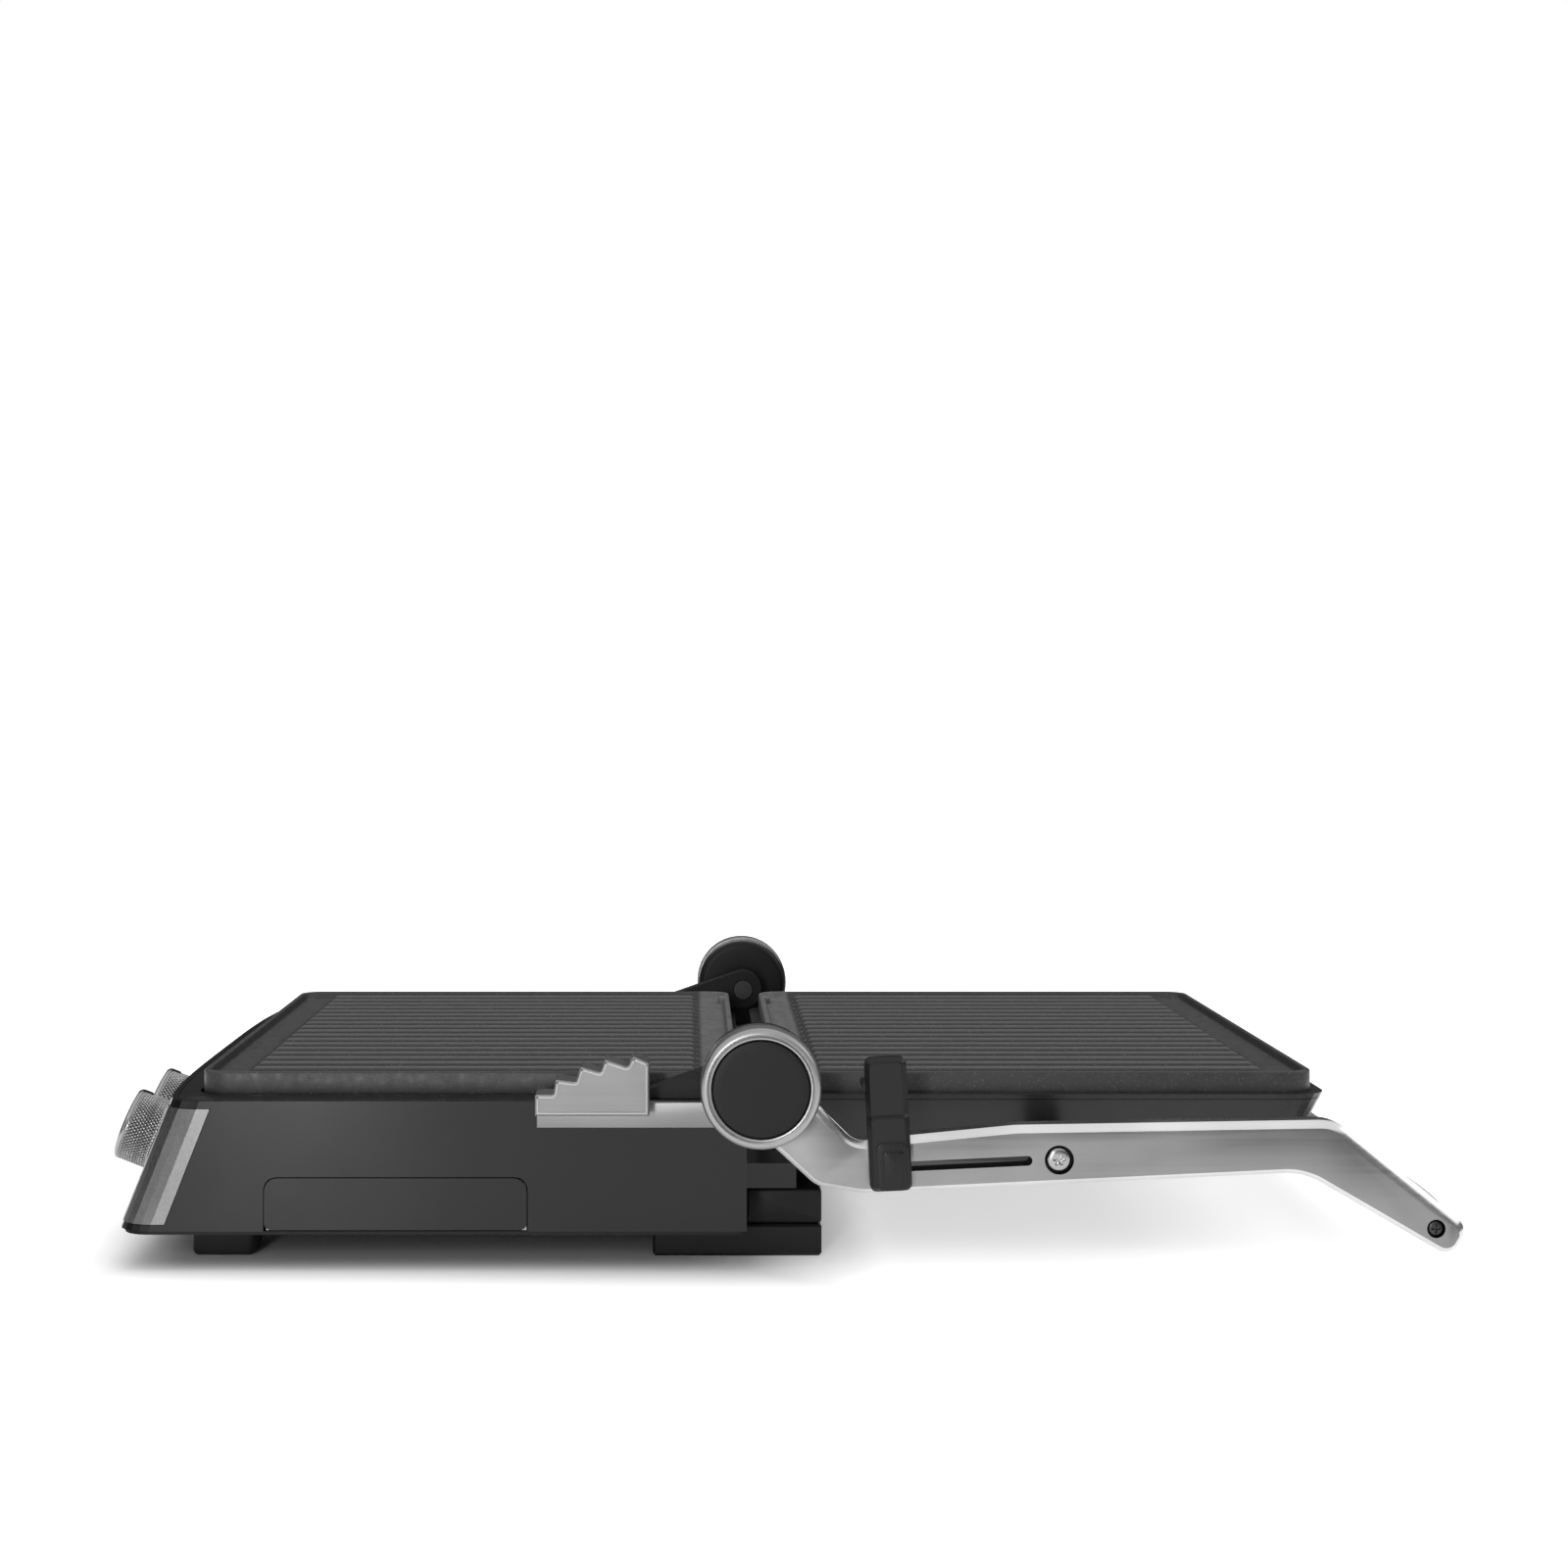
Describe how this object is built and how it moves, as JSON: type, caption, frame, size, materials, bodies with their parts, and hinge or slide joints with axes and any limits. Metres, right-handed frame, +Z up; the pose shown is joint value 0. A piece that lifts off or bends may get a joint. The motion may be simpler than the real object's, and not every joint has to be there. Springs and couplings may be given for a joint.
{
  "type": "panini press",
  "caption": "Contact grill with ribbed plates, floating head on cranked arms that opens flat, control knobs, height latch and side drip tray.",
  "frame": {"origin": "middle of the grill's box at the level of the table, with the lid open flat", "axes": "+Z up; the controls face -Y and the open lid lies toward +Y; X runs along the hinge, with the drip tray and the height latch at +X"},
  "size_m": [0.42, 0.5787, 0.1067],
  "materials": {
    "gloss_black": "polished black moulding",
    "satin_black": "satin moulding",
    "dark_grey": "fine satin grain",
    "graphite": "semi-gloss graphite enamel",
    "non_stick": "speckled non-stick coating on cast aluminium",
    "stainless": "brushed across",
    "aluminium": "brushed sides with polished bevels",
    "light_metal": "satin cast",
    "bright_steel": "bright turned",
    "zinc": "zinc plated sheet",
    "brass": "turned",
    "rubber": "matt",
    "element": "oxidised heater sheath"
  },
  "bodies": {
    "base": {"base_shell": "gloss_black", "front_panel": "stainless", "base_deck": "dark_grey", "base_floor": "satin_black", "lower_plate": "non_stick", "lower_element": "element", "lower_reflector": "bright_steel", "front_foot_right": "rubber", "front_foot_left": "rubber", "rear_foot_bar": "satin_black", "rear_support": "satin_black", "rear_bracket": "gloss_black", "cord_gland": "rubber", "hinge_bracket_right": "satin_black", "hinge_bracket_left": "satin_black", "hinge_pin_right": "bright_steel", "hinge_pin_left": "bright_steel", "height_rack": "light_metal", "timer_body": "zinc", "timer_skirt": "gloss_black", "thermostat_body": "zinc", "thermostat_skirt": "gloss_black", "tray_rail_front": "zinc", "tray_rail_rear": "zinc"},
    "lid": {"arm_right": "aluminium", "arm_left": "aluminium", "handle_bar": "aluminium", "hub_cap_right": "aluminium", "hub_cap_left": "aluminium", "hub_cover_right": "satin_black", "hub_cover_left": "satin_black", "hub_spring_right": "bright_steel", "hub_spring_left": "bright_steel", "pivot_bush_right": "satin_black", "pivot_bush_left": "satin_black", "pivot_screw_right": "bright_steel", "pivot_screw_left": "bright_steel", "tip_screw_right": "bright_steel", "tip_screw_left": "bright_steel"},
    "head": {"head_housing": "graphite", "head_rim": "graphite", "upper_plate": "non_stick", "upper_element": "element", "upper_reflector": "bright_steel"},
    "latch": {"latch_slider": "dark_grey", "latch_retainer": "zinc"},
    "hub_button_right": {"hub_button_right": "satin_black"},
    "hub_button_left": {"hub_button_left": "satin_black"},
    "timer": {"timer_knob": "bright_steel", "timer_shaft": "brass"},
    "thermostat": {"thermostat_knob": "bright_steel", "thermostat_shaft": "brass"},
    "tray": {"drip_tray": "gloss_black"},
    "lower_release": {"lower_plate_release": "satin_black"},
    "upper_release": {"upper_plate_release": "satin_black"}
  },
  "joints": [
    {"name": "lid_hinge", "type": "hinge", "parent": "base", "child": "lid", "pos_m": [0, -0.00032, 0.082], "axis": [1, 0, 0], "range_deg": [0, 180]},
    {"name": "head_tilt", "type": "hinge", "parent": "lid", "child": "head", "pos_m": [0, 0.12268, 0.051], "axis": [1, 0, 0], "range_deg": [-12, 0]},
    {"name": "latch_slide", "type": "slide", "parent": "lid", "child": "latch", "axis": [0, 0.9989, 0.0471], "range_m": [0, 0.056]},
    {"name": "hub_push_right", "type": "slide", "parent": "lid", "child": "hub_button_right", "axis": [-1, 0, 0], "range_m": [0, 0.004], "stiffness_N_per_m": 600, "deforming": ["hub_spring_right"]},
    {"name": "hub_push_left", "type": "slide", "parent": "lid", "child": "hub_button_left", "axis": [1, 0, 0], "range_m": [0, 0.004], "stiffness_N_per_m": 600, "deforming": ["hub_spring_left"]},
    {"name": "timer_turn", "type": "hinge", "parent": "base", "child": "timer", "pos_m": [0.08801, -0.26571, 0.04265], "axis": [0.0197, -0.9302, 0.3664], "range_deg": [-300, 0]},
    {"name": "thermostat_turn", "type": "hinge", "parent": "base", "child": "thermostat", "pos_m": [0.021, -0.26618, 0.04265], "axis": [0.0003, -0.9304, 0.3665], "range_deg": [-270, 0]},
    {"name": "tray_slide", "type": "slide", "parent": "base", "child": "tray", "axis": [1, 0, 0], "range_m": [0, 0.24]},
    {"name": "lower_release_slide", "type": "slide", "parent": "base", "child": "lower_release", "axis": [0, -1, 0], "range_m": [0, 0.003], "stiffness_N_per_m": 500},
    {"name": "upper_release_push", "type": "slide", "parent": "head", "child": "upper_release", "axis": [0, -1, 0], "range_m": [0, 0.003], "stiffness_N_per_m": 500}
  ]
}
